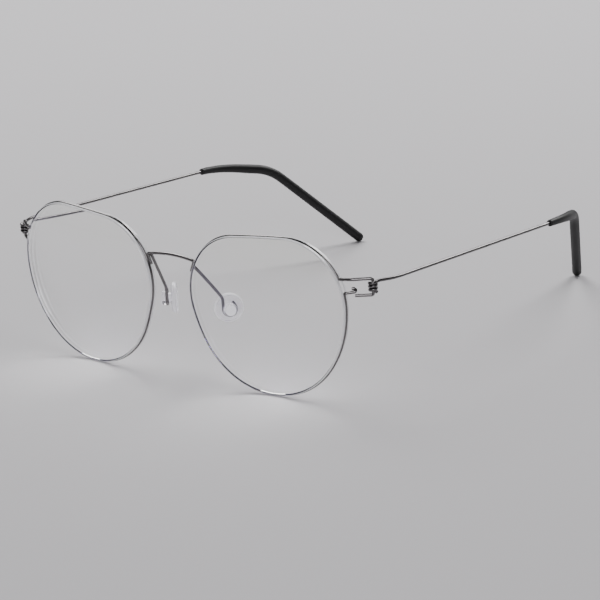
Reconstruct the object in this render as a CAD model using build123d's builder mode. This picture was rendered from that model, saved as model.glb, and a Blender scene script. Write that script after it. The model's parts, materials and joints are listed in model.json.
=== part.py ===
"""Wire-frame eyeglasses: two lenses, each held by one bent wire in its edge groove.

The right-hand pieces (the wearer's left, +X) are modelled, and the left-hand ones are their mirror
images. X runs across the face, +Y back along the temples, +Z up; all sizes are in millimetres.
"""
import os
from math import asin, cos, pi, radians, sin, tan

import numpy as np
from build123d import *

# ---- lenses -------------------------------------------------------------------------------------
lens_width = 52.0          # boxed width of the rim wire's centre line
lens_height = 46.5         # boxed height of the rim wire's centre line
bridge_gap = 15.0          # between the two boxed lens shapes
wrap_angle = 4.8           # each lens turns back towards its temple
lean_angle = 2.1           # the front leans forward, as it stands on a table
front_radius = 130.0       # lens front curve
back_radius = 92.0         # lens back curve, steeper, so the edge is thicker than the middle
lens_middle = 1.6          # lens thickness at its centre
lens_crest = 0.15          # lens edge stands this far outside the wire's centre line
blank_radius = 32.0        # the round blank that the lens is cut from

# outline: six tangent arcs, counter-clockwise from the bottom, seen from the front
# the normal's angle where one arc meets the next, 0 pointing at the temple and 90 up
joint_angles = [-38.5, -1.5, 91.3, 96.4, 196.1, 205.6]
temple_side_radius = 31.0
nose_side_radius = 53.0

# ---- wire ---------------------------------------------------------------------------------------
wire = 0.9                 # diameter of the titanium wire
groove_clearance = 0.03
wire_sphere = 108.0        # the rim wire lies on this sphere, half way through the lens edge
weld = 0.04                # a welded wire sinks this far into its neighbour
tight_bend = 0.5           # centre-line radius of the sharpest bends
rim_bend = 0.7             # centre-line radius where the rim wire leaves its groove

# ---- hinge --------------------------------------------------------------------------------------
upper_exit = 29.0          # normal angle where the rim wire leaves the groove for the hinge
lower_exit = 10.5          # normal angle where its lower end comes out again
exit_straight = 0.85       # from either exit to its bend's corner
hinge_out = 6.0            # pin axis outside the lens box
hinge_back = 5.0           # pin axis behind the lens box's edge
hinge_rise = 10.7          # middle of the pin above the lens centre
pin_span = 4.66            # between the wire's centre lines above and below the coil
pin_clearance = 0.05       # radial, inside the coil
coil_turns = 3
coil_pitch = 0.93
end_bow = 0.75             # the arm to the pin bows forward by this much
bow_place = 0.38           # at this share of its length
bow_radius = 5.0
return_length = 5.0        # from the pin back towards the lens
hook_length = 3.3          # lower end of the rim wire, up to its fold
hook_rise = 0.35           # it rises by this much, to pass over the wire from the pin
fold_up = 0.76             # the folded end of the hook lies this far above its start
fold_across = 0.57         # and this far beside it
fold_radius = 0.465
hook_back = 1.1            # the folded end points back this far

# ---- bridge and nose pads -----------------------------------------------------------------------
foot_angle = 157.5         # normal angle of the rim where the bridge's foot is welded on
foot_down = 1.6            # foot below that point
foot_up = 1.75             # foot above it, up to the bend's corner
foot_reach = 5.0           # the foot lies along this much of the rim's turn, either way
arch_lead = 1.2            # straight part of the bridge beside its bend
arch_slope = 9.5           # the bridge rises from its ends at this angle
arm_start_back = 0.57      # pad arm's upper end, behind the corner of the bridge's bend
arm_start_down = 0.10      # below that corner
arm_start_in = 0.85        # and towards the nose
pad_x = 11.83              # middle of the pad's neck
pad_behind_lens = 10.35    # the neck, behind the bridge
pad_drop = 16.4            # the neck, below the bridge's bends
pad_turn = 51.0            # the pad's axis turns out from straight ahead
knee_rise = 3.65           # pad arm's knee above the neck
knee_radius = 2.5
pad_diameter = 9.0
pad_thickness = 1.8
pad_round = 0.75
neck_diameter = 2.8
cap_diameter = 4.15
cap_thickness = 1.1
cap_round = 0.49
pad_clearance = 0.05       # between the neck and the loop, and between the cap and the loop
neck_slack = 0.75          # free neck between the loop and the disc
loop_turn = 210.0
loop_tail = 1.5

# ---- temples ------------------------------------------------------------------------------------
temple_length = 147.0      # from the hinge pin to the end of the tip, along the wire's corners
coil_lead = 1.2            # straight on from the coil
lead_radius = 4.5
flare_back = 6.3           # the temple swings outward over this length
flare_out = 2.1            # and by this much, from where it leaves the coil
flare_radius = 14.0
toe_in = 1.3               # then runs back, this many degrees inward
drop = 3.05                # and this many degrees down
ear_length = 18.7          # first stretch of the ear bend
ear_inward = 25.5
ear_drop = 11.5
ear_radius = 33.0
tip_inward = 34.6
tip_drop = 43.0
tip_radius = 16.0          # centre-line radius where the temple turns down
sleeve_ahead = 7.7         # the sleeve's mouth is this far ahead of the ear bend's first corner
taper_past = 11.5          # and it has its full thickness this far past that corner
mouth_diameter = 2.0
sleeve_diameter = 2.9
mouth_round = 0.4
sleeve_clearance = 0.02
wire_short = 6.0           # the wire ends this far short of the sleeve's end


# ---- the lens shape, and where it is --------------------------------------------------------------
def direction(angle):
    """Unit vector at this angle, in degrees."""
    return np.array([cos(radians(angle)), sin(radians(angle))])


def on_the_flat(half_size):
    """Half a size on the flat, which wraps to the given half size on the wire's sphere."""
    return 2 * wire_sphere * tan(asin(half_size / wire_sphere) / 2)


def outline_arcs():
    """Centre, radius and first and last normal angle of the six arcs of the flat outline.

    Neighbouring arcs share a normal where they meet, so each centre follows from the one before.
    The rest is linear: the chain closes, and it touches the four sides of the lens box.
    """
    normals = [direction(angle) for angle in joint_angles]
    temple_side, shoulder, nose_shoulder, nose_side = 1, 2, 4, 5

    def centre(index):
        rows = np.zeros((2, 8))
        rows[0, 0] = rows[1, 1] = 1
        for step in range(index):
            rows[:, 2 + step] += normals[step]
            rows[:, 2 + (step + 1) % 6] -= normals[step]
        return rows

    def reach(index, angle):
        row = direction(angle) @ centre(index)
        row[2 + index] += 1
        return row

    half_width = on_the_flat(lens_width / 2)
    half_height = on_the_flat(lens_height / 2)
    known_side = np.eye(8)
    equations = [
        *(centre(6) - centre(0)),
        reach(shoulder, 0),
        reach(shoulder, 90),
        reach(nose_shoulder, 180),
        reach(0, 270),
        known_side[2 + temple_side],
        known_side[2 + nose_side],
    ]
    values = [0, 0, half_width, half_height, half_width, half_height]
    values += [temple_side_radius, nose_side_radius]
    unknowns = np.linalg.solve(np.array(equations), np.array(values))
    starts = [joint_angles[5] - 360] + joint_angles[:5]
    return [
        (centre(i) @ unknowns, unknowns[2 + i], starts[i], joint_angles[i]) for i in range(6)
    ]


arcs = outline_arcs()
BOTTOM, TEMPLE_SIDE, SHOULDER, TOP, NOSE_SHOULDER, NOSE_SIDE = arcs

half_box = lens_width / 2 * cos(radians(wrap_angle))
lens_origin = Vector(bridge_gap / 2 + half_box, 0, lens_height / 2 * cos(radians(lean_angle)))
lens_plane = Plane(
    origin=lens_origin,
    x_dir=Vector(1, 0, 0).rotate(Axis.Z, wrap_angle).rotate(Axis.X, lean_angle),
    z_dir=Vector(0, -1, 0).rotate(Axis.Z, wrap_angle).rotate(Axis.X, lean_angle),
)
mean_rim = (lens_width + lens_height) / 4
rim_sag = wire_sphere - (wire_sphere**2 - mean_rim**2) ** 0.5


def wrapped(flat_point):
    """A flat outline point, wrapped onto the wire's sphere, in the lens plane's own axes."""
    x, y = flat_point
    square = x * x + y * y
    shrink = 1 / (1 + square / (4 * wire_sphere**2))
    return Vector(x * shrink, y * shrink, rim_sag - square / (2 * wire_sphere) * shrink)


def arc_points(arc, first=None, last=None, outside=0.0):
    """First, middle and last point of an arc or of part of it, in the lens plane's own axes."""
    centre, radius, start, end = arc
    first = start if first is None else first
    last = end if last is None else last
    return [
        wrapped(centre + (radius + outside) * direction(angle))
        for angle in (first, (first + last) / 2, last)
    ]


def in_space(points):
    """Points in the lens plane's own axes, as points of the model."""
    return [lens_plane.from_local_coords(point) for point in points]


def heading(inward, down):
    """Direction of a stretch of the right temple."""
    return Vector(
        -sin(radians(inward)) * cos(radians(down)),
        cos(radians(inward)) * cos(radians(down)),
        -sin(radians(down)),
    )


def start_plane(line):
    """Plane across the start of a path, for its cross-section."""
    return Plane(origin=line @ 0, z_dir=line % 0)


# ---- lens ---------------------------------------------------------------------------------------
front_height = rim_sag + lens_middle / 2
section_plane = Plane(lens_origin, x_dir=lens_plane.x_dir, z_dir=lens_plane.y_dir * -1)


def sag(radius, reach):
    return radius - (radius**2 - reach**2) ** 0.5


back_height = front_height - lens_middle
half_way = blank_radius / 2

with BuildPart() as lens_right:
    with BuildSketch(section_plane):
        with BuildLine():
            front_curve = ThreePointArc(
                (0, front_height),
                (half_way, front_height - sag(front_radius, half_way)),
                (blank_radius, front_height - sag(front_radius, blank_radius)),
            )
            back_curve = ThreePointArc(
                (0, back_height),
                (half_way, back_height - sag(back_radius, half_way)),
                (blank_radius, back_height - sag(back_radius, blank_radius)),
            )
            Line(front_curve @ 0, back_curve @ 0)
            Line(front_curve @ 1, back_curve @ 1)
        make_face()
    revolve(axis=Axis(lens_origin, lens_plane.z_dir))
    with BuildSketch(lens_plane):
        with BuildLine():
            for arc in arcs:
                ThreePointArc(*[(p.X, p.Y) for p in arc_points(arc, outside=lens_crest)])
        make_face()
    extrude(amount=lens_height / 2, both=True, mode=Mode.INTERSECT)
    with BuildLine() as groove_line:
        for arc in arcs:
            ThreePointArc(*in_space(arc_points(arc)))
    with BuildSketch(start_plane(groove_line.line)):
        Circle(wire / 2 + groove_clearance)
    sweep(path=groove_line.line, mode=Mode.SUBTRACT)

# ---- rim wire, with its hinge pin ---------------------------------------------------------------
pin_x = lens_origin.X + half_box + hinge_out
pin_y = lens_width / 2 * sin(radians(wrap_angle)) + hinge_back
pin_middle = lens_origin.Z + hinge_rise
pin_top = Vector(pin_x, pin_y, pin_middle + pin_span / 2)
pin_bottom = Vector(pin_x, pin_y, pin_middle - pin_span / 2)

with BuildPart() as rim_wire_right:
    with BuildLine() as rim_line:
        first_stretch = ThreePointArc(*in_space(arc_points(SHOULDER, lower_exit, SHOULDER[2])))
        for arc in (TEMPLE_SIDE, BOTTOM):
            ThreePointArc(*in_space(arc_points(arc, arc[3], arc[2])))
        for arc in (NOSE_SIDE, NOSE_SHOULDER, TOP):
            ThreePointArc(*in_space(arc_points(arc, arc[3], arc[2])))
        last_stretch = ThreePointArc(*in_space(arc_points(SHOULDER, SHOULDER[3], upper_exit)))

        lower_corner = first_stretch @ 0 - (first_stretch % 0) * exit_straight
        outward = (Vector(pin_x, pin_y, 0) - Vector(lower_corner.X, lower_corner.Y, 0)).normalized()
        fold = lower_corner + outward * hook_length + Vector(0, 0, hook_rise)
        fold_top = fold + outward.cross(Vector(0, 0, -fold_across)) + Vector(0, 0, fold_up)
        FilletPolyline(
            fold_top - outward * hook_back,
            fold_top,
            fold,
            lower_corner,
            first_stretch @ 0,
            radius=[fold_radius, fold_radius, rim_bend],
        )

        upper_corner = last_stretch @ 1 + (last_stretch % 1) * exit_straight
        arm = pin_top - upper_corner
        forward = Vector(arm.Y, -arm.X, 0).normalized()
        FilletPolyline(
            last_stretch @ 1,
            upper_corner,
            upper_corner + arm * bow_place + forward * end_bow,
            pin_top,
            pin_bottom,
            pin_bottom - outward * return_length,
            radius=[rim_bend, bow_radius, tight_bend, tight_bend],
        )
    with BuildSketch(start_plane(rim_line.wire())):
        Circle(wire / 2)
    sweep(path=rim_line.wire())

# ---- bridge: an arch whose ends turn down as feet, welded to the two rim wires ------------------
foot_side = wire - weld
foot_points = in_space(
    arc_points(NOSE_SHOULDER, foot_angle + foot_reach, foot_angle - foot_reach, outside=foot_side)
)
foot_middle = foot_points[1]
foot_rise = (foot_points[2] - foot_points[0]).normalized()
foot_end = foot_middle - foot_rise * foot_down
bridge_corner = foot_middle + foot_rise * foot_up
arch_start = bridge_corner + Vector(
    -arch_lead * cos(radians(arch_slope)), 0, arch_lead * sin(radians(arch_slope))
)


def mirrored(point):
    """The same point on the left-hand side."""
    return Vector(-point.X, point.Y, point.Z)


with BuildPart() as bridge:
    with BuildLine() as bridge_line:
        FilletPolyline(foot_end, bridge_corner, arch_start, radius=tight_bend)
        TangentArc(arch_start, mirrored(arch_start), tangent=arch_start - bridge_corner)
        FilletPolyline(
            mirrored(arch_start), mirrored(bridge_corner), mirrored(foot_end), radius=tight_bend
        )
    with BuildSketch(start_plane(bridge_line.wire())):
        Circle(wire / 2)
    sweep(path=bridge_line.wire())

# ---- nose pad: a soft disc with a neck and a cap behind it --------------------------------------
pad_axis = Vector(sin(radians(pad_turn)), -cos(radians(pad_turn)), 0)
pad_centre = Vector(pad_x, bridge_corner.Y + pad_behind_lens, bridge_corner.Z - pad_drop)
pad_plane = Plane(origin=pad_centre, x_dir=(0, 0, 1), z_dir=pad_axis)
disc_face = pad_plane.offset(-wire / 2 - neck_slack)
cap_face = pad_plane.offset(wire / 2 + pad_clearance)

with BuildPart() as nose_pad_right:
    with BuildSketch(disc_face):
        Circle(pad_diameter / 2)
    extrude(amount=-pad_thickness)
    disc_edges = nose_pad_right.edges().filter_by(GeomType.CIRCLE)
    fillet(disc_edges, pad_round)
    with BuildSketch(disc_face):
        Circle(neck_diameter / 2)
    extrude(amount=neck_slack + wire + pad_clearance)
    with BuildSketch(cap_face):
        Circle(cap_diameter / 2)
    extrude(amount=cap_thickness)
    cap_edge = nose_pad_right.edges().filter_by(GeomType.CIRCLE).sort_by(Axis(pad_centre, pad_axis))
    fillet(cap_edge[-1], cap_round)

# ---- pad arm: from the bridge's bend to an open loop round the pad's neck ------------------------
loop_radius = neck_diameter / 2 + pad_clearance + wire / 2
across = Vector(0, 0, 1).cross(pad_axis)
arm_start = bridge_corner + Vector(-arm_start_in, arm_start_back, -arm_start_down)


def loop_point(angle):
    """Point of the loop, counted from the side that the arm comes down on."""
    turn = radians(angle)
    return pad_centre - across * (loop_radius * cos(turn)) - Vector(0, 0, loop_radius * sin(turn))


with BuildPart() as pad_arm_right:
    with BuildLine() as arm_line:
        knee = loop_point(0) + Vector(0, 0, knee_rise)
        FilletPolyline(arm_start, knee, loop_point(0), radius=knee_radius)
        half_loop = ThreePointArc(loop_point(0), loop_point(loop_turn / 2), loop_point(loop_turn))
        Line(half_loop @ 1, half_loop @ 1 + (half_loop % 1) * loop_tail)
    with BuildSketch(start_plane(arm_line.wire())):
        Circle(wire / 2)
    sweep(path=arm_line.wire())

# ---- temple: a wire coiled round the pin, running back to the ear --------------------------------
coil_radius = wire + pin_clearance
coil_height = coil_turns * coil_pitch
coil_foot = Vector(pin_x, pin_y, pin_middle - coil_height / 2)
coil_exit = coil_foot + Vector(coil_radius, 0, coil_height)
coil_heading = Vector(0, 2 * pi * coil_radius, coil_pitch).normalized()

side = heading(toe_in, drop)
ear = heading(ear_inward, ear_drop)
tip = heading(tip_inward, tip_drop)

# the side stretch and the tip share what is left of the temple's length, so that the tip's rounded
# end stands level with the bottom of the rim wire
leaving = coil_exit + coil_heading * coil_lead
flare = coil_exit + Vector(flare_out, flare_back, 0)
length_left = temple_length - coil_lead - (flare - leaving).length - ear_length
tip_end_height = (sleeve_diameter - wire) / 2
fall_left = flare.Z + ear.Z * ear_length - tip_end_height
side_length = (length_left + fall_left / tip.Z) / (1 - side.Z / tip.Z)
ear_corner = flare + side * side_length
tip_corner = ear_corner + ear * ear_length
tip_end = tip_corner + tip * (length_left - side_length)
wire_end = tip_end - tip * wire_short
mouth = ear_corner - side * sleeve_ahead
taper_end = ear_corner + ear * taper_past

with BuildPart() as temple_right:
    with BuildLine() as temple_line:
        Helix(coil_pitch, coil_height, coil_radius, center=coil_foot)
        FilletPolyline(
            coil_exit,
            leaving,
            flare,
            ear_corner,
            tip_corner,
            wire_end,
            radius=[lead_radius, flare_radius, ear_radius, tip_radius],
        )
    with BuildSketch(start_plane(temple_line.wire())):
        Circle(wire / 2)
    sweep(path=temple_line.wire())

# ---- temple tip: a soft sleeve over the end of the wire, thicker from the ear bend on --------------
with BuildPart() as temple_tip_right:
    with BuildLine() as taper_line:
        FilletPolyline(mouth, ear_corner, taper_end, radius=ear_radius)
    taper_path = taper_line.wire()
    for place, diameter in ((0, mouth_diameter), (1, sleeve_diameter)):
        with BuildSketch(Plane(origin=taper_path @ place, z_dir=taper_path % place)):
            Circle(diameter / 2)
    sweep(path=taper_path, multisection=True)
    mouth_edge = temple_tip_right.edges().sort_by_distance(mouth)[0]
    fillet(mouth_edge, mouth_round)
    with BuildLine() as full_line:
        FilletPolyline(taper_end, tip_corner, tip_end, radius=tip_radius)
    with BuildSketch(start_plane(full_line.wire())):
        Circle(sleeve_diameter / 2)
    sweep(path=full_line.wire())
    with Locations(tip_end):
        Sphere(sleeve_diameter / 2)
    with BuildLine() as bore_line:
        FilletPolyline(
            mouth - side, ear_corner, tip_corner, wire_end + tip * sleeve_clearance,
            radius=[ear_radius, tip_radius],
        )
    with BuildSketch(start_plane(bore_line.wire())):
        Circle(wire / 2 + sleeve_clearance)
    sweep(path=bore_line.wire(), mode=Mode.SUBTRACT)

# ---- the left-hand pieces, and the whole pair on its origin ----------------------------------------
right_pieces = {
    "rim_wire": rim_wire_right,
    "lens": lens_right,
    "pad_arm": pad_arm_right,
    "nose_pad": nose_pad_right,
    "temple": temple_right,
    "temple_tip": temple_tip_right,
}
pieces = {"bridge": bridge.part}
for name, piece in right_pieces.items():
    pieces[name + "_right"] = piece.part
    with BuildPart() as left_piece:
        mirror(piece.part, about=Plane.YZ)
    pieces[name + "_left"] = left_piece.part

# the origin is under the middle of the whole pair, on the surface that it stands on
whole = Compound(list(pieces.values())).bounding_box()
shift = Vector(0, -whole.center().Y, -whole.min.Z)

os.makedirs("parts", exist_ok=True)
for name, piece in pieces.items():
    placed = piece.moved(Location(shift))
    placed.label = name
    export_step(placed, f"parts/{name}.step")
    print(name, len(placed.solids()), "solid,", round(placed.volume, 2), "mm3")

print("right hinge pin", pin_top + shift, pin_bottom + shift)
print("right nose pad", pad_centre + shift, "axis", pad_axis)
print("right temple tip's end", tip_end + shift, "axis", tip)
print("shift", shift, "box", whole.size)
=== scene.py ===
# %% [markdown]
# # Wire-frame eyeglasses
# A pair of glasses whose whole frame is bent from thin titanium wire. Each lens sits on a wire that
# lies in a groove round its edge. The CAD model is the frame of this scene. Everything here is in
# metres, and nothing in it is moved or resized.

import json
from math import cos, pi, radians, sin

import bmesh
import bpy
import numpy as np
from mathutils import Matrix, Vector
from mathutils.geometry import convex_hull_2d
from mathutils.kdtree import KDTree


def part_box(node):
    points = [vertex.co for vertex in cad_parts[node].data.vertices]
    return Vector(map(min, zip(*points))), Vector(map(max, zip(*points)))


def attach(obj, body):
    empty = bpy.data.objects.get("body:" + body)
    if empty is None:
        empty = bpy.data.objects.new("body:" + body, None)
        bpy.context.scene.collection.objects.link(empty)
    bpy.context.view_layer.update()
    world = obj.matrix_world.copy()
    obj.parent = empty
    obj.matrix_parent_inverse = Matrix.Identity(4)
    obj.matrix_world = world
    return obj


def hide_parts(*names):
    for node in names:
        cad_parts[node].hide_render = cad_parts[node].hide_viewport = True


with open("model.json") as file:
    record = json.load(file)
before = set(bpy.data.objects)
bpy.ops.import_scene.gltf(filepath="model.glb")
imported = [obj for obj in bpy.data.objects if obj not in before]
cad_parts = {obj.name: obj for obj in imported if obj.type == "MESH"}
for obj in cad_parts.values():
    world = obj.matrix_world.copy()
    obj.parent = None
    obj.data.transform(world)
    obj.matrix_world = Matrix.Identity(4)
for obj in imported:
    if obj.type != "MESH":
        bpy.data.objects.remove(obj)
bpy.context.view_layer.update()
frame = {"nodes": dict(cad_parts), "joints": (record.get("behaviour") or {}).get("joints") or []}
nodes = frame["nodes"]
MM = 0.001
SIDES = ("right", "left")
print("nodes:", sorted(nodes))

# %% [markdown]
# ## Camera
# The glasses stand open and are seen from in front, from their left and a little above, through a
# long lens, which keeps the far temple nearly as large as the near one. The aim point is given
# from the front of the rim wire, so it follows the frame.

# %% Place the camera
VIEW_TURN = radians(40.0)
VIEW_RISE = radians(16.708)
VIEW_ROLL = radians(-3.684)
VIEW_DISTANCE = 0.9669
AIM_ACROSS, AIM_BEHIND_RIM, AIM_HEIGHT = 0.01465, 0.03868, 0.01546

rim_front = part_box("rim_wire_right")[0].y
aim = Vector((AIM_ACROSS, rim_front + AIM_BEHIND_RIM, AIM_HEIGHT))
to_camera = Vector(
    (sin(VIEW_TURN) * cos(VIEW_RISE), -cos(VIEW_TURN) * cos(VIEW_RISE), sin(VIEW_RISE))
)
camera_data = bpy.data.cameras.new("camera")
camera_data.sensor_width = 36.0
camera_data.lens = 200.2
camera = bpy.data.objects.new("camera", camera_data)
bpy.context.scene.collection.objects.link(camera)
turned = to_camera.to_track_quat("Z", "Y").to_matrix() @ Matrix.Rotation(VIEW_ROLL, 3, "Z")
camera.matrix_world = Matrix.LocRotScale(aim + to_camera * VIEW_DISTANCE, turned, None)
bpy.context.scene.camera = camera
print("camera at", camera.matrix_world.translation)

# %% [markdown]
# ## Floor and light
# A pale seamless floor, two soft boxes behind and a weak fill from the front. A polished wire
# shows nothing but what it reflects, so the light above and behind is the long bright line along
# the top of every wire, and the rest of the room is kept fairly dim, which leaves the wire's sides
# dark.

# %% Floor
FLOOR_SIZE = 8.0
FLOOR_DROP = 0.02 * MM      # keeps the floor from lying in one plane with what stands on it


def linked(name, mesh):
    piece = bpy.data.objects.new(name, mesh)
    bpy.context.scene.collection.objects.link(piece)
    return piece


def finished(bm, name, smooth=True):
    """The mesh in bm as an object of the scene."""
    mesh = bpy.data.meshes.new(name)
    bm.to_mesh(mesh)
    bm.free()
    for face in mesh.polygons:
        face.use_smooth = smooth
    return linked(name, mesh)


bm = bmesh.new()
bmesh.ops.create_grid(bm, x_segments=1, y_segments=1, size=FLOOR_SIZE / 2)
floor = finished(bm, "floor", smooth=False)
floor.location.z = -FLOOR_DROP


# %% Lights
BACK_SOFTBOX = 0.65         # width of the soft boxes behind the glasses
FRONT_SOFTBOX = 0.5
LIT_HEIGHT = 0.02           # the soft boxes face a point at this height
ROOM_STRENGTH = 0.12


def soft_light(name, place, size, power, colour=(1.0, 1.0, 1.0)):
    """A square soft box at a place, facing the glasses."""
    light = bpy.data.lights.new(name, "AREA")
    light.size = size
    light.energy = power
    light.color = colour
    lamp = bpy.data.objects.new(name, light)
    lamp.location = place
    from_glasses = Vector(place) - Vector((0, 0, LIT_HEIGHT))
    lamp.rotation_euler = from_glasses.to_track_quat("Z", "Y").to_euler()
    bpy.context.scene.collection.objects.link(lamp)


soft_light("back_softbox", (0.05, 0.93, 0.86), BACK_SOFTBOX, 14.0)
soft_light("side_softbox", (-0.78, 0.38, 0.92), BACK_SOFTBOX, 13.0)
soft_light("front_fill", (0.7, -0.9, 0.6), FRONT_SOFTBOX, 6.0, (0.97, 0.97, 1.0))

world = bpy.data.worlds.new("room")
bpy.context.scene.world = world
world.use_nodes = True
room = world.node_tree.nodes["Background"]
room.inputs["Color"].default_value = (0.80, 0.79, 0.82, 1.0)
room.inputs["Strength"].default_value = ROOM_STRENGTH


# %% [markdown]
# ## Shared surface effects
# Fine surface texture is the same idea on every material here, only finer or coarser. Each effect
# is a node group, built once, with named sockets for its values. All of them read Object
# coordinates, so the pattern is fixed to the piece.

# %% A helper for node groups
def effect_group(name, inputs, outputs):
    """An empty shader node group with float inputs, given with their defaults, and its outputs."""
    group = bpy.data.node_groups.new(name, "ShaderNodeTree")
    for socket, value in inputs.items():
        made = group.interface.new_socket(socket, in_out="INPUT", socket_type="NodeSocketFloat")
        made.default_value = value
    for socket, kind in outputs.items():
        group.interface.new_socket(socket, in_out="OUTPUT", socket_type=kind)
    return group, group.nodes.new("NodeGroupInput"), group.nodes.new("NodeGroupOutput")


def noise(tree, coordinates, detail):
    """A noise texture on these coordinates, with its scale left for the caller."""
    texture = tree.nodes.new("ShaderNodeTexNoise")
    texture.inputs["Detail"].default_value = detail
    tree.links.new(coordinates, texture.inputs["Vector"])
    return texture


def remap(tree, value, low, high):
    """A value between 0 and 1, stretched to run from low to high."""
    change = tree.nodes.new("ShaderNodeMapRange")
    tree.links.new(value, change.inputs["Value"])
    for socket, end in (("To Min", low), ("To Max", high)):
        if isinstance(end, bpy.types.NodeSocket):
            tree.links.new(end, change.inputs[socket])
        else:
            change.inputs[socket].default_value = end
    return change.outputs["Result"]


# %% [markdown]
# ### Fine grain
# A coarse noise that varies the gloss from place to place, as handling does, and a fine one that
# gives the skin of the surface its tooth. The group puts out a tone between 0 and 1, a roughness
# and a height.

# %% Fine grain group
FINE_SHARE, PATCH_SHARE = 0.35, 0.65        # of the fine and the coarse noise in the tone
FLOAT = "NodeSocketFloat"
grain_group, into, out = effect_group(
    "fine_grain",
    {"Grain Scale": 3000.0, "Patch Scale": 150.0, "Roughness Low": 0.3, "Roughness High": 0.4},
    {"Tone": FLOAT, "Roughness": FLOAT, "Height": FLOAT},
)
place = grain_group.nodes.new("ShaderNodeTexCoord").outputs["Object"]
fine = noise(grain_group, place, 4.0)
patches = noise(grain_group, place, 2.0)
grain_group.links.new(into.outputs["Grain Scale"], fine.inputs["Scale"])
grain_group.links.new(into.outputs["Patch Scale"], patches.inputs["Scale"])
blend = grain_group.nodes.new("ShaderNodeMath")
blend.operation = "MULTIPLY_ADD"
blend.inputs[1].default_value = FINE_SHARE
blend.use_clamp = True
shade = remap(grain_group, patches.outputs["Fac"], 0.0, PATCH_SHARE)
grain_group.links.new(fine.outputs["Fac"], blend.inputs[0])
grain_group.links.new(shade, blend.inputs[2])
rough = remap(
    grain_group, blend.outputs[0], into.outputs["Roughness Low"], into.outputs["Roughness High"]
)
grain_group.links.new(blend.outputs[0], out.inputs["Tone"])
grain_group.links.new(rough, out.inputs["Roughness"])
grain_group.links.new(fine.outputs["Fac"], out.inputs["Height"])

# %% [markdown]
# ### Draw marks
# Wire is pulled through a die, which leaves fine lines along it. On a straight stretch they are
# noise that is stretched along that stretch, so a Mapping node in the material squeezes the
# coordinates. The group sharpens that noise into lines.

# %% Draw mark group
LINES_FROM, LINES_TO = 0.40, 0.62           # the noise between these becomes the lines' soft edges
marks_group, into, out = effect_group(
    "draw_marks", {"Line Scale": 6000.0}, {"Lines": FLOAT, "Height": FLOAT}
)
marks_group.interface.new_socket("Stretched", in_out="INPUT", socket_type="NodeSocketVector")
lines = noise(marks_group, into.outputs["Stretched"], 3.0)
marks_group.links.new(into.outputs["Line Scale"], lines.inputs["Scale"])
sharper = marks_group.nodes.new("ShaderNodeMapRange")
sharper.interpolation_type = "SMOOTHSTEP"
sharper.inputs["From Min"].default_value = LINES_FROM
sharper.inputs["From Max"].default_value = LINES_TO
marks_group.links.new(lines.outputs["Fac"], sharper.inputs["Value"])
marks_group.links.new(sharper.outputs["Result"], out.inputs["Lines"])
marks_group.links.new(lines.outputs["Fac"], out.inputs["Height"])


# %% [markdown]
# ## Materials
# Each finish is its own short function.

# %% Helpers for materials
def shader(name, **values):
    """A new material, its node tree and its Principled shader, with these values set."""
    material = bpy.data.materials.new(name)
    material.use_nodes = True
    tree = material.node_tree
    surface = tree.nodes["Principled BSDF"]
    for socket, value in values.items():
        surface.inputs[socket.replace("_", " ")].default_value = value
    return material, tree, surface


def add_group(tree, group, **values):
    node = tree.nodes.new("ShaderNodeGroup")
    node.node_tree = group
    for socket, value in values.items():
        node.inputs[socket.replace("_", " ")].default_value = value
    return node


def two_tones(tree, surface, tone, dark, light):
    """Base Color, running from the dark tone to the light one."""
    mix = tree.nodes.new("ShaderNodeMix")
    mix.data_type = "RGBA"
    mix.inputs["A"].default_value = (*dark, 1.0)
    mix.inputs["B"].default_value = (*light, 1.0)
    tree.links.new(tone, mix.inputs["Factor"])
    tree.links.new(mix.outputs["Result"], surface.inputs["Base Color"])


def bump(tree, surface, height, depth):
    """A bump of this depth, in metres, on the surface's normal."""
    node = tree.nodes.new("ShaderNodeBump")
    node.inputs["Distance"].default_value = depth
    tree.links.new(height, node.inputs["Height"])
    tree.links.new(node.outputs["Normal"], surface.inputs["Normal"])


def clear_to_shadows(tree, surface, tint):
    """Lets light through to what lies behind a clear piece, with this tint."""
    clear = tree.nodes.new("ShaderNodeBsdfTransparent")
    clear.inputs["Color"].default_value = (*tint, 1.0)
    path = tree.nodes.new("ShaderNodeLightPath")
    mix = tree.nodes.new("ShaderNodeMixShader")
    tree.links.new(path.outputs["Is Shadow Ray"], mix.inputs["Fac"])
    tree.links.new(surface.outputs["BSDF"], mix.inputs[1])
    tree.links.new(clear.outputs["BSDF"], mix.inputs[2])
    tree.links.new(mix.outputs["Shader"], tree.nodes["Material Output"].inputs["Surface"])


# %% [markdown]
# ### Titanium wire
# Drawn titanium is a dark, warm grey with a satin skin. The temples run nearly along Y, so their
# draw marks are stretched along Y. The other wires bend all the way round, so they only have grain.

# %% Titanium
WIRE_DARK = (0.110, 0.105, 0.108)
WIRE_LIGHT = (0.240, 0.228, 0.228)
ALONG_TEMPLES = (1.0, 0.03, 1.0)            # squeezes Y, which makes the marks long that way


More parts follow.
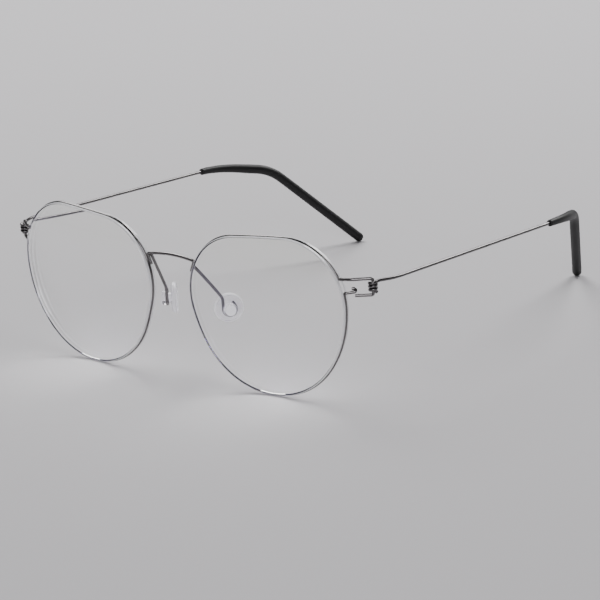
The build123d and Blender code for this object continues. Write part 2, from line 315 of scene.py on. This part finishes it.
def titanium(name, stretch):
    material, tree, surface = shader(name, Metallic=1.0)
    grain = add_group(
        tree, grain_group,
        Grain_Scale=4000.0, Patch_Scale=220.0, Roughness_Low=0.13, Roughness_High=0.24,
    )
    tree.links.new(grain.outputs["Roughness"], surface.inputs["Roughness"])
    if stretch is None:
        two_tones(tree, surface, grain.outputs["Tone"], WIRE_DARK, WIRE_LIGHT)
        bump(tree, surface, grain.outputs["Height"], 0.004 * MM)
        return material
    place = tree.nodes.new("ShaderNodeTexCoord")
    squeeze = tree.nodes.new("ShaderNodeMapping")
    squeeze.inputs["Scale"].default_value = stretch
    marks = add_group(tree, marks_group, Line_Scale=5000.0)
    tree.links.new(place.outputs["Object"], squeeze.inputs["Vector"])
    tree.links.new(squeeze.outputs["Vector"], marks.inputs["Stretched"])
    both = tree.nodes.new("ShaderNodeMath")
    both.operation = "MULTIPLY"
    tree.links.new(grain.outputs["Tone"], both.inputs[0])
    tree.links.new(marks.outputs["Lines"], both.inputs[1])
    two_tones(tree, surface, both.outputs[0], WIRE_DARK, WIRE_LIGHT)
    bump(tree, surface, marks.outputs["Height"], 0.005 * MM)
    return material


bent_titanium = titanium("bent_titanium", None)
temple_titanium = titanium("temple_titanium", ALONG_TEMPLES)

# %% [markdown]
# ### Weld
# A laser weld leaves a small bead that is lighter than the wire and slightly straw-coloured.

# %% Weld
def weld_metal():
    material, tree, surface = shader("weld_metal", Metallic=1.0)
    grain = add_group(
        tree, grain_group,
        Grain_Scale=7000.0, Patch_Scale=1500.0, Roughness_Low=0.30, Roughness_High=0.48,
    )
    tree.links.new(grain.outputs["Roughness"], surface.inputs["Roughness"])
    two_tones(tree, surface, grain.outputs["Tone"], (0.070, 0.062, 0.058), (0.17, 0.15, 0.13))
    bump(tree, surface, grain.outputs["Height"], 0.01 * MM)
    return material


# %% [markdown]
# ### Lens
# A clear lens with an anti-reflection coating, whose faint reflection is violet. The tint belongs to
# the reflection alone, so it is the shader's Specular Tint. The faces are polished evenly, with no
# roughness at all.

# %% Lens glass
def lens_glass():
    material, tree, surface = shader("lens_glass", IOR=1.5)
    surface.inputs["Transmission Weight"].default_value = 1.0
    surface.inputs["Base Color"].default_value = (0.985, 0.985, 0.99, 1.0)
    surface.inputs["Specular Tint"].default_value = (0.50, 0.42, 1.0, 1.0)
    surface.inputs["Roughness"].default_value = 0.0
    clear_to_shadows(tree, surface, (0.93, 0.93, 0.94))
    return material


# %% [markdown]
# The lens's edge is ground and then polished, which never gets it as clear as the faces. It is the
# same glass with a rougher skin, near white, and it lets less light straight through. The whiteness
# is partly the edge's own haze and partly a painted highlight: the bright line on both sides of the
# wire where the edge catches the light.

# %% Lens edge, haze and painted highlight
def edge_haze_and_painted_highlight():
    material, tree, surface = shader("edge_haze_and_painted_highlight", IOR=1.5)
    surface.inputs["Transmission Weight"].default_value = 0.15
    grain = add_group(
        tree, grain_group,
        Grain_Scale=5000.0, Patch_Scale=400.0, Roughness_Low=0.10, Roughness_High=0.24,
    )
    tree.links.new(grain.outputs["Roughness"], surface.inputs["Roughness"])
    # Near-white colour: partly the edge's own haze, partly a painted highlight.
    two_tones(tree, surface, grain.outputs["Tone"], (0.88, 0.88, 0.90), (0.98, 0.98, 1.0))
    bump(tree, surface, grain.outputs["Height"], 0.003 * MM)
    clear_to_shadows(tree, surface, (0.80, 0.80, 0.81))
    return material


# %% [markdown]
# ### Silicone
# The nose pads are moulded from clear silicone. It is softer in gloss than glass, a little milky,
# and its skin is slightly uneven.

# %% Silicone
def silicone(name, clearness, through):
    """Silicone that lets this share of the light in, and this tint through to what lies behind."""
    material, tree, surface = shader(name, IOR=1.41)
    surface.inputs["Transmission Weight"].default_value = clearness
    grain = add_group(
        tree, grain_group,
        Grain_Scale=1500.0, Patch_Scale=300.0, Roughness_Low=0.08, Roughness_High=0.20,
    )
    tree.links.new(grain.outputs["Roughness"], surface.inputs["Roughness"])
    two_tones(tree, surface, grain.outputs["Tone"], (0.95, 0.94, 0.99), (0.99, 0.98, 1.0))
    bump(tree, surface, grain.outputs["Height"], 0.006 * MM)
    clear_to_shadows(tree, surface, through)
    return material


clear_silicone = silicone("clear_silicone", 0.90, (0.86, 0.85, 0.88))
# Near white and nearly opaque: a painted highlight for the pads' rims and necks.
painted_highlight_silicone = silicone("painted_highlight_silicone", 0.12, (0.62, 0.61, 0.64))
print("silicone:", clear_silicone.name, "and", painted_highlight_silicone.name)

# %% [markdown]
# ### Temple tips
# The sleeves are matt black. Their skin has a fine, even tooth and a slight bloom where
# fingers have touched it.

# %% Black rubber
def black_rubber():
    material, tree, surface = shader("black_rubber", Specular_IOR_Level=0.35)
    grain = add_group(
        tree, grain_group,
        Grain_Scale=5000.0, Patch_Scale=120.0, Roughness_Low=0.42, Roughness_High=0.60,
    )
    tree.links.new(grain.outputs["Roughness"], surface.inputs["Roughness"])
    two_tones(tree, surface, grain.outputs["Tone"], (0.0045, 0.0045, 0.005), (0.010, 0.0097, 0.010))
    bump(tree, surface, grain.outputs["Height"], 0.01 * MM)
    return material


# %% [markdown]
# ### Floor paper
# Matt paper in a pale grey, with a grain and broad patches that are only just there.

# %% Floor paper
def floor_paper():
    material, tree, surface = shader("floor_paper")
    grain = add_group(
        tree, grain_group,
        Grain_Scale=900.0, Patch_Scale=14.0, Roughness_Low=0.75, Roughness_High=0.9,
    )
    tree.links.new(grain.outputs["Roughness"], surface.inputs["Roughness"])
    two_tones(tree, surface, grain.outputs["Tone"], (0.500, 0.488, 0.503), (0.520, 0.508, 0.523))
    return material


floor.data.materials.append(floor_paper())

# %% [markdown]
# ### Pieces that keep their CAD shape
# The wires and the sleeves are shown as the CAD made them. Only the lenses and nose pads are built
# again below, so these are the pieces that need nothing more than a finish.

# %% Finishes of the pieces that keep their CAD shape
kept_finishes = {"bridge": bent_titanium}
for side in SIDES:
    kept_finishes["rim_wire_" + side] = bent_titanium
    kept_finishes["pad_arm_" + side] = bent_titanium
    kept_finishes["temple_" + side] = temple_titanium
sleeve_rubber = black_rubber()
for side in SIDES:
    kept_finishes["temple_tip_" + side] = sleeve_rubber
for name, material in kept_finishes.items():
    nodes[name].material_slots[0].material = material

# %% [markdown]
# ## Lenses
# A lens is a slice between two spheres, trimmed to the wire's shape, with a groove all round.
# The CAD lens has the right shape, but its faces are long slivers, and glass shows every one.
# So the lens is built again as clean rings, from what can be measured on the CAD lens: its two
# spheres and its outline. The rings start as one circle and are extruded again and again: over the
# front, round the polished bevel, down into the groove, out again and over the back.

# %% Measure a CAD lens
def corner_points(mesh, faces):
    """The places of all corners of these faces, once each."""
    used = sorted({index for face in faces for index in face.vertices})
    return np.array([mesh.vertices[index].co for index in used])


def fitted_sphere(points):
    """Centre and radius of the sphere through these points, by least squares."""
    rows = np.column_stack([2 * points, np.ones(len(points))])
    found = np.linalg.lstsq(rows, (points**2).sum(axis=1), rcond=None)[0]
    return found[:3], (found[3] + (found[:3] ** 2).sum()) ** 0.5


def rim_loop(points, axis):
    """The outermost points round an axis, in order.

    The outline has no hollows, so it is its own hull.
    """
    across = np.cross((0, 0, 1), axis)
    across /= np.linalg.norm(across)
    flat = [(point @ across, point @ np.cross(axis, across)) for point in points]
    return points[convex_hull_2d(flat)]


def evenly_spaced(loop, count):
    """So many points at even distances along a closed loop."""
    closed = np.vstack([loop, loop[:1]])
    along = np.append(0, np.cumsum(np.linalg.norm(np.diff(closed, axis=0), axis=1)))
    wanted = np.arange(count) * along[-1] / count
    return np.column_stack([np.interp(wanted, along, closed[:, k]) for k in range(3)])


FACES_FRONT = 0.85          # a normal that points forward by this much is on the lens's face
INNER_PART = 16.0 * MM      # faces this close to the lens's middle are clear of its groove
COLUMNS = 240

lens_mesh = nodes["lens_right"].data
lens_low, lens_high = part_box("lens_right")
box_middle = (Vector(lens_low) + Vector(lens_high)) / 2
inner_faces = [
    face for face in lens_mesh.polygons if (face.center - box_middle).xz.length < INNER_PART
]
front_faces = [face for face in inner_faces if face.normal.y < -FACES_FRONT]
back_faces = [face for face in inner_faces if face.normal.y > FACES_FRONT]
front_centre, front_radius = fitted_sphere(corner_points(lens_mesh, front_faces))
back_centre, back_radius = fitted_sphere(corner_points(lens_mesh, back_faces))
forward = (front_centre - back_centre) / np.linalg.norm(front_centre - back_centre)
forward = -forward if forward[1] > 0 else forward
outline = evenly_spaced(rim_loop(corner_points(lens_mesh, lens_mesh.polygons), forward), COLUMNS)
print("front curve", front_radius, "back curve", back_radius, "lens axis", forward)

# %% [markdown]
# The rings are laid out in the lens's own axes: out along the flat, and up along the lens's axis.
# The wire's groove lies half way between the two spheres, so the edge's profile is worked out from
# there: a flat band, a round groove and another flat band, with a small bevel at both corners.

# %% Rings of a lens
WIRE = 0.9 * MM
GROOVE_CLEARANCE = 0.03 * MM
GROOVE_RADIUS = WIRE / 2 + GROOVE_CLEARANCE
WIRE_INSIDE_EDGE = 0.15 * MM      # the wire's middle is this far inside the lens's edge
BEVEL = 0.22 * MM
FACE_RINGS = 14
GROOVE_RINGS = 9
RING_CROWDING = 0.8         # below 1, the rings of a face lie closer together near the edge


def height_on(centre, radius, flat):
    """Height, along the lens axis, of points on a sphere, above the lens's own zero."""
    level = centre @ forward
    middle = centre - level * forward
    reach = np.linalg.norm(flat - middle, axis=1)
    return level + np.sqrt(radius**2 - reach**2)


def flattened(points):
    return points - np.outer(points @ forward, forward)


edge_flat = flattened(outline)
lens_middle = flattened(front_centre[None, :])[0]
ahead = np.roll(edge_flat, -1, axis=0) - np.roll(edge_flat, 1, axis=0)
inward = np.cross(forward, ahead / np.linalg.norm(ahead, axis=1)[:, None])
if ((lens_middle - edge_flat[0]) @ inward[0]) < 0:
    inward = -inward


def on_front(flat):
    return height_on(front_centre, front_radius, flat)


def on_back(flat):
    return height_on(back_centre, back_radius, flat)


groove_flat = edge_flat + inward * WIRE_INSIDE_EDGE
groove_height = (on_front(groove_flat) + on_back(groove_flat)) / 2


def raised(flat, height):
    return flat + np.outer(height, forward)


def lens_rings():
    """All rings of the lens, from the middle of its front to the middle of its back."""
    shares = [(k / FACE_RINGS) ** RING_CROWDING for k in range(1, FACE_RINGS)]
    bevelled = edge_flat + inward * BEVEL
    front = [lens_middle + (bevelled - lens_middle) * share for share in shares] + [bevelled]
    rings = [raised(flat, on_front(flat)) for flat in front]
    rings.append(raised(edge_flat, on_front(edge_flat) - BEVEL))
    lip = np.arcsin(WIRE_INSIDE_EDGE / GROOVE_RADIUS)
    for k in range(GROOVE_RINGS):
        turn = -lip + (pi + 2 * lip) * k / (GROOVE_RINGS - 1)
        flat = groove_flat + inward * GROOVE_RADIUS * sin(turn)
        rings.append(raised(flat, groove_height + GROOVE_RADIUS * cos(turn)))
    rings.append(raised(edge_flat, on_back(edge_flat) + BEVEL))
    rings += [raised(flat, on_back(flat)) for flat in reversed(front)]
    return rings


# %% Build a lens
# These bands take the lens's second material, the edge's haze and painted highlight.
FRONT_BAND = (FACE_RINGS, FACE_RINGS + 1)       # rings that end the front's bevel and flat band
BACK_BAND = (FACE_RINGS + GROOVE_RINGS + 1, FACE_RINGS + GROOVE_RINGS + 2)


def placed(corners, ring):
    for corner, point in zip(corners, ring):
        corner.co = point


def lens_shell():
    """The right-hand lens as a mesh of rings."""
    bm = bmesh.new()
    rings = lens_rings()
    first = bmesh.ops.create_circle(bm, cap_ends=True, segments=COLUMNS, radius=0.01)["verts"]
    placed(first, rings[0])
    edges = list(bm.edges)
    for index, ring in enumerate(rings[1:], start=1):
        grown = bmesh.ops.extrude_edge_only(bm, edges=edges)["geom"]
        for item in grown:
            if isinstance(item, bmesh.types.BMFace):
                item.material_index = int(index in FRONT_BAND + BACK_BAND)
        edges = [item for item in grown if isinstance(item, bmesh.types.BMEdge)]
        edges = [edge for edge in edges if edge.is_boundary]
        corners = [item for item in grown if isinstance(item, bmesh.types.BMVert)]
        placed(corners, ring)
    bmesh.ops.contextual_create(bm, geom=edges)
    caps = [face for face in bm.faces if len(face.verts) > 4]
    bmesh.ops.poke(bm, faces=caps)
    bmesh.ops.recalc_face_normals(bm, faces=bm.faces)
    return bm


CORNER_ANGLE = radians(24)


def sharp_corners(piece):
    """Marks the corners of a piece, so that smooth shading stops there."""
    bm = bmesh.new()
    bm.from_mesh(piece.data)
    for edge in bm.edges:
        edge.smooth = edge.calc_face_angle(0.0) < CORNER_ANGLE
    bm.to_mesh(piece.data)
    bm.free()


def mirrored_piece(piece, name):
    """The left-hand twin of a piece."""
    bm = bmesh.new()
    bm.from_mesh(piece.data)
    bmesh.ops.scale(bm, vec=(-1, 1, 1), verts=bm.verts)
    bmesh.ops.reverse_faces(bm, faces=bm.faces)
    twin = finished(bm, name)
    for material in piece.data.materials:
        twin.data.materials.append(material)
    return twin


right_lens = finished(lens_shell(), "clear_lens_right")
sharp_corners(right_lens)
right_lens.data.materials.append(lens_glass())
right_lens.data.materials.append(edge_haze_and_painted_highlight())
left_lens = mirrored_piece(right_lens, "clear_lens_left")
sharp_corners(left_lens)
for piece, side in ((right_lens, "right"), (left_lens, "left")):
    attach(piece, "front")
    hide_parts("lens_" + side)
    print(piece.name, len(piece.data.polygons), "faces")

# %% [markdown]
# ## Nose pads
# A nose pad is one moulding of clear silicone: a soft disc against the nose, a neck that the wire's
# loop holds, and a cap behind the loop. It is round, so one profile is drawn along its axis and
# spun. The profile keeps what the mould leaves: a slightly domed face, a full round rim and a
# shallow ring pressed into the back of the disc. The rim and a band round the neck are near-white
# silicone that lets little light through: a painted highlight, the bright edge that clear silicone
# shows where it catches the light.

# %% Profile of a nose pad
PAD_RADIUS, PAD_THICKNESS = 4.5 * MM, 1.8 * MM
NECK_RADIUS, NECK_FREE = 1.4 * MM, 0.75 * MM
CAP_RADIUS, CAP_THICKNESS = 2.075 * MM, 1.1 * MM
LOOP_GAP = 0.05 * MM
RING_DEPTH = 0.22 * MM
ROUND_STEPS = 8
SPIN_STEPS = 72
RIM_HIGHLIGHT_FROM = 3.95 * MM      # from here on, the thick rounded rim gets the painted highlight
NECK_HIGHLIGHT_SKIN, NECK_HIGHLIGHT_REACH = 0.1 * MM, 1.6 * MM      # how far round and along the neck the painted highlight reaches
MERGE_WITHIN = 0.001 * MM


def round_corner(middle, radius, start, end, steps=ROUND_STEPS):
    """Points on an arc of the profile. 0 degrees is outward and 90 is towards the cap."""
    turns = [radians(start + (end - start) * k / steps) for k in range(steps + 1)]
    return [(middle[0] + radius * cos(t), middle[1] + radius * sin(t)) for t in turns]


def pad_profile():
    """Radius and height of the pad's profile, from the nose side to the cap."""
    back = -WIRE / 2 - NECK_FREE
    face = back - PAD_THICKNESS
    rim = PAD_THICKNESS * 0.46
    cap = WIRE / 2 + LOOP_GAP
    top = cap + CAP_THICKNESS
    soft = 0.12 * MM
    points = [(0.0, face), (PAD_RADIUS * 0.35, face + 0.01 * MM)]
    points += [(PAD_RADIUS * 0.6, face + 0.03 * MM)]
    points += round_corner((PAD_RADIUS - rim, back - PAD_THICKNESS / 2), rim, -84, 84)
    points += [(PAD_RADIUS * 0.78, back), (PAD_RADIUS * 0.74, back - 0.05 * MM)]
    points += [(PAD_RADIUS * 0.70, back - RING_DEPTH), (PAD_RADIUS * 0.52, back - RING_DEPTH)]
    points += [(PAD_RADIUS * 0.48, back - 0.05 * MM), (PAD_RADIUS * 0.44, back)]
    points += round_corner((NECK_RADIUS + 2 * soft, back + 2 * soft), 2 * soft, 270, 180, 4)
    points += [(NECK_RADIUS, cap - soft)]
    points += [(NECK_RADIUS + soft, cap), (CAP_RADIUS - 2 * soft, cap)]
    points += round_corner((CAP_RADIUS - soft, cap + soft), soft, -90, 0, 4)
    crown = CAP_THICKNESS * 0.5
    points += round_corner((CAP_RADIUS - crown, top - crown), crown, 0, 84)
    points += [(CAP_RADIUS * 0.3, top), (0.0, top)]
    return points


# %% Build a nose pad
pad_joints = {joint["child"]: joint for joint in frame["joints"] if joint["child"].startswith("pad")}


def nose_pad(side):
    joint = pad_joints["pad_" + side]
    to_place = Matrix.Translation(joint["pos_m"]) @ Vector(joint["axis"]).to_track_quat(
        "Z", "Y"
    ).to_matrix().to_4x4()
    bm = bmesh.new()
    corners = [bm.verts.new((radius, 0.0, height)) for radius, height in pad_profile()]
    edges = [bm.edges.new(pair) for pair in zip(corners, corners[1:])]
    bmesh.ops.spin(
        bm, geom=corners + edges, cent=(0, 0, 0), axis=(0, 0, 1), angle=2 * pi,
        steps=SPIN_STEPS, use_merge=True,
    )
    bmesh.ops.remove_doubles(bm, verts=bm.verts, dist=MERGE_WITHIN)
    bmesh.ops.recalc_face_normals(bm, faces=bm.faces)
    # The rim and neck faces take the second material, a painted highlight.
    for face in bm.faces:
        middle = face.calc_center_median()
        on_rim = middle.xy.length > RIM_HIGHLIGHT_FROM
        in_neck = middle.xy.length < NECK_RADIUS + NECK_HIGHLIGHT_SKIN and abs(middle.z) < NECK_HIGHLIGHT_REACH
        face.material_index = int(on_rim or in_neck)
    bmesh.ops.transform(bm, matrix=to_place, verts=bm.verts)
    piece = finished(bm, "silicone_pad_" + side)
    piece.data.materials.append(clear_silicone)
    piece.data.materials.append(painted_highlight_silicone)
    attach(piece, "pad_" + side)
    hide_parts("nose_pad_" + side)
    return piece


for side in SIDES:
    piece = nose_pad(side)
    print(piece.name, len(piece.data.polygons), "faces")

# %% [markdown]
# ## Weld beads
# The bridge's feet lie along the rim wires, and the pad arms start on the bridge. Both are laser
# welded: a short row of shots, each of which leaves a small flat bead over the seam. The seams are
# found on the CAD pieces themselves, as the places where two of them come closest.

# %% Find a seam and lay beads along it
BEAD_RADIUS = 0.24 * MM
BEAD_SHAPE = (1.0, 0.85, 1.25)      # a bead is a little longer than it is wide
BEAD_STEP = 0.42 * MM
SEAM_REACH = 0.30 * MM


def seam_points(first, second):
    """Places between two CAD pieces, where a corner of one is close to a corner of the other."""
    corners = [corner.co for corner in nodes[second].data.vertices]
    tree = KDTree(len(corners))
    for index, corner in enumerate(corners):
        tree.insert(corner, index)
    tree.balance()
    found = []
    for corner in nodes[first].data.vertices:
        near, _, distance = tree.find(corner.co)
        if distance < SEAM_REACH:
            found.append(((corner.co + near) / 2, distance))
    return found


def bead_places(first, second):
    """Places along a seam, closest first, that keep a bead's step from each other."""
    chosen = []
    for place, _ in sorted(seam_points(first, second), key=lambda item: item[1]):
        if all((place - other).length > BEAD_STEP for other in chosen):
            chosen.append(place)
    return chosen


def weld_beads(name, seams, material):
    bm = bmesh.new()
    for first, second in seams:
        for place in bead_places(first, second):
            bead = bmesh.ops.create_icosphere(
                bm, subdivisions=3, radius=BEAD_RADIUS, matrix=Matrix.Translation(place)
            )["verts"]
            bmesh.ops.scale(
                bm, vec=BEAD_SHAPE, space=Matrix.Translation(-place), verts=bead
            )
    piece = finished(bm, name)
    piece.data.materials.append(material)
    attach(piece, "front")
    return piece


bead_metal = weld_metal()
for side in SIDES:
    seams = (("bridge", "rim_wire_" + side), ("pad_arm_" + side, "bridge"))
    piece = weld_beads("weld_beads_" + side, seams, bead_metal)
    print(piece.name, len(piece.data.polygons), "faces")
